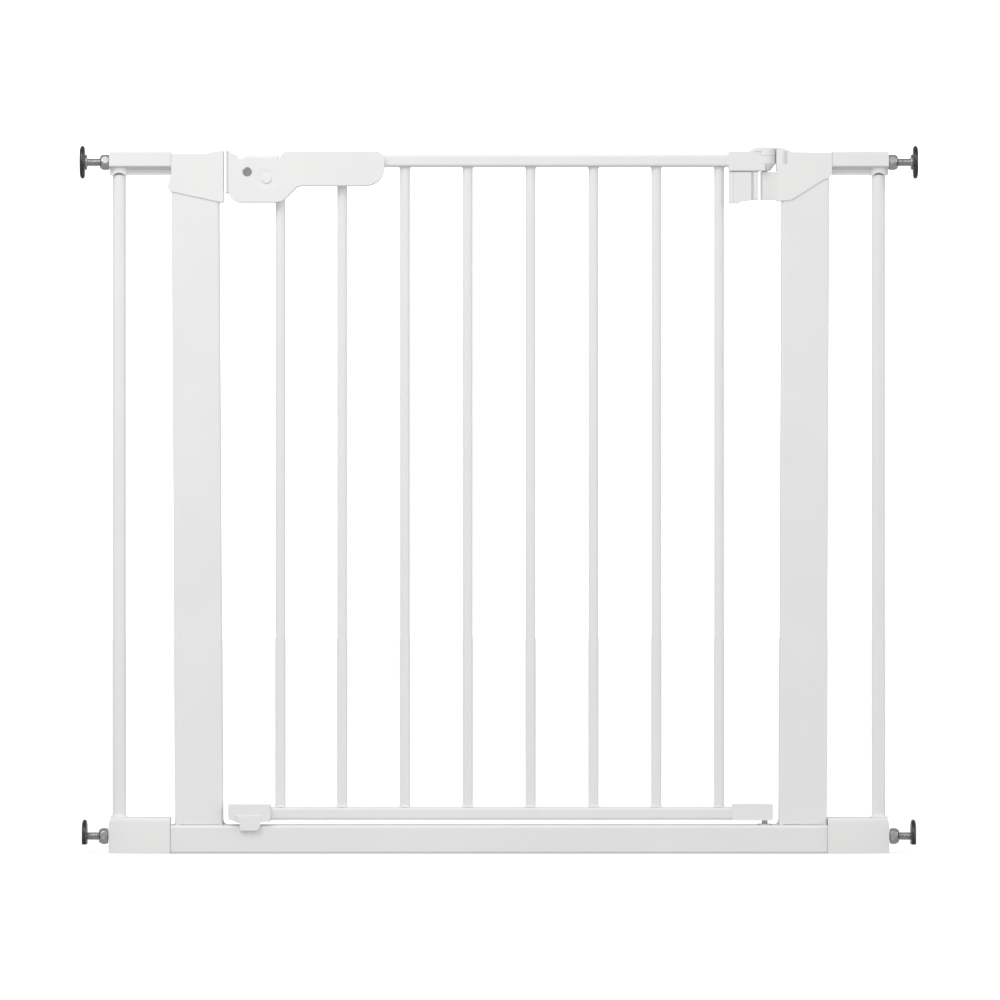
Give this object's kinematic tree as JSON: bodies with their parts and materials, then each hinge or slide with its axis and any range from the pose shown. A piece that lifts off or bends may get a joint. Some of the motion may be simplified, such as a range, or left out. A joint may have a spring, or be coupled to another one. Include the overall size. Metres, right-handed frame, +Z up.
{
  "type": "pressure-fit child safety gate",
  "caption": "White barred safety gate with a lift-and-swing door in a U-frame, side extensions and screw spindles with round wall pads.",
  "frame": {"origin": "centre of the bottom rail's underside, on the floor", "axes": "+X along the gate from the latch side to the hinge side, -Y to the front, +Z up"},
  "size_m": [0.8696, 0.0402, 0.7342],
  "materials": {
    "powder_coat": "satin",
    "moulded_white": "satin",
    "zinc_steel": "satin",
    "bright_steel": "satin",
    "spring_steel": "satin"
  },
  "bodies": {
    "frame": {"bottom_rail": "powder_coat", "left_upright": "powder_coat", "right_upright": "powder_coat", "left_foot_welds": "powder_coat", "right_foot_welds": "powder_coat", "latch_cap": "moulded_white", "latch_keeper": "bright_steel", "hinge_cap": "moulded_white", "cap_screws": "bright_steel", "lower_hinge_bush": "moulded_white", "left_extension_tube": "powder_coat", "right_extension_tube": "powder_coat", "left_tube_plug": "moulded_white", "right_tube_plug": "moulded_white", "left_extension_post": "powder_coat", "right_extension_post": "powder_coat", "left_post_ferrules": "moulded_white", "right_post_ferrules": "moulded_white", "left_extension_base": "moulded_white", "right_extension_base": "moulded_white"},
    "hinge_pin": {"lower_hinge_pin": "bright_steel"},
    "door": {"door_top_rail": "powder_coat", "door_bottom_rail": "powder_coat", "door_bar_1": "powder_coat", "door_bar_2": "powder_coat", "door_bar_3": "powder_coat", "door_bar_4": "powder_coat", "door_bar_5": "powder_coat", "door_bar_6": "powder_coat", "door_bar_7": "powder_coat", "door_bar_8": "powder_coat", "upper_hinge_arm": "moulded_white", "upper_hinge_pin": "bright_steel", "hinge_dome": "moulded_white", "lower_hinge_shoe": "moulded_white", "latch_shoe": "moulded_white", "handle_front_shell": "moulded_white", "handle_rear_shell": "moulded_white", "handle_end_plate": "moulded_white", "handle_screws": "bright_steel", "handle_rivet": "bright_steel", "latch_spring": "spring_steel"},
    "latch": {"thumb_slider": "moulded_white", "latch_bolt": "bright_steel"},
    "button": {"lock_button": "moulded_white"},
    "upper_left_spindle": {"upper_left_rod": "bright_steel", "upper_left_pad": "zinc_steel", "upper_left_washer": "bright_steel"},
    "upper_left_nut_body": {"upper_left_nut": "bright_steel"},
    "upper_right_spindle": {"upper_right_rod": "bright_steel", "upper_right_pad": "zinc_steel", "upper_right_washer": "bright_steel"},
    "upper_right_nut_body": {"upper_right_nut": "bright_steel"},
    "lower_left_spindle": {"lower_left_rod": "bright_steel", "lower_left_pad": "zinc_steel"},
    "lower_left_nut_body": {"lower_left_nut": "bright_steel"},
    "lower_right_spindle": {"lower_right_rod": "bright_steel", "lower_right_pad": "zinc_steel"},
    "lower_right_nut_body": {"lower_right_nut": "bright_steel"}
  },
  "joints": [
    {"name": "door_swing", "type": "hinge", "parent": "frame", "child": "hinge_pin", "pos_m": [0.2758, 0, 0.03], "axis": [0, 0, 1], "range_deg": [0, 90]},
    {"name": "door_lift", "type": "slide", "parent": "hinge_pin", "child": "door", "axis": [0, 0, 1], "range_m": [0, 0.009]},
    {"name": "latch_slide", "type": "slide", "parent": "door", "child": "latch", "axis": [1, 0, 0], "range_m": [-0.0065, 0]},
    {"name": "lock_button_press", "type": "slide", "parent": "door", "child": "button", "axis": [0, 1, 0], "range_m": [0, 0.0025], "stiffness_N_per_m": 300, "springref_m": -0.002},
    {"name": "upper_left_spindle_reach", "type": "slide", "parent": "frame", "child": "upper_left_spindle", "axis": [-1, 0, 0], "range_m": [-0.01, 0.03]},
    {"name": "upper_left_nut_turn", "type": "hinge", "parent": "frame", "child": "upper_left_nut_body", "pos_m": [-0.4092, 0, 0.717], "axis": [-1, 0, 0], "range_deg": [-8650, 2890]},
    {"name": "upper_right_spindle_reach", "type": "slide", "parent": "frame", "child": "upper_right_spindle", "axis": [1, 0, 0], "range_m": [-0.01, 0.03]},
    {"name": "upper_right_nut_turn", "type": "hinge", "parent": "frame", "child": "upper_right_nut_body", "pos_m": [0.4092, 0, 0.717], "axis": [1, 0, 0], "range_deg": [-8650, 2890]},
    {"name": "lower_left_spindle_reach", "type": "slide", "parent": "frame", "child": "lower_left_spindle", "axis": [-1, 0, 0], "range_m": [-0.01, 0.03]},
    {"name": "lower_left_nut_turn", "type": "hinge", "parent": "frame", "child": "lower_left_nut_body", "pos_m": [-0.4104, 0, 0.0177], "axis": [-1, 0, 0], "range_deg": [-8650, 2890]},
    {"name": "lower_right_spindle_reach", "type": "slide", "parent": "frame", "child": "lower_right_spindle", "axis": [1, 0, 0], "range_m": [-0.01, 0.03]},
    {"name": "lower_right_nut_turn", "type": "hinge", "parent": "frame", "child": "lower_right_nut_body", "pos_m": [0.4104, 0, 0.0177], "axis": [1, 0, 0], "range_deg": [-8650, 2890]}
  ],
  "couplings": [
    {"joint": "upper_left_nut_turn", "follows": "upper_left_spindle_reach", "rad_per_m": -5026.5},
    {"joint": "upper_right_nut_turn", "follows": "upper_right_spindle_reach", "rad_per_m": -5026.5},
    {"joint": "lower_left_nut_turn", "follows": "lower_left_spindle_reach", "rad_per_m": -5026.5},
    {"joint": "lower_right_nut_turn", "follows": "lower_right_spindle_reach", "rad_per_m": -5026.5}
  ]
}
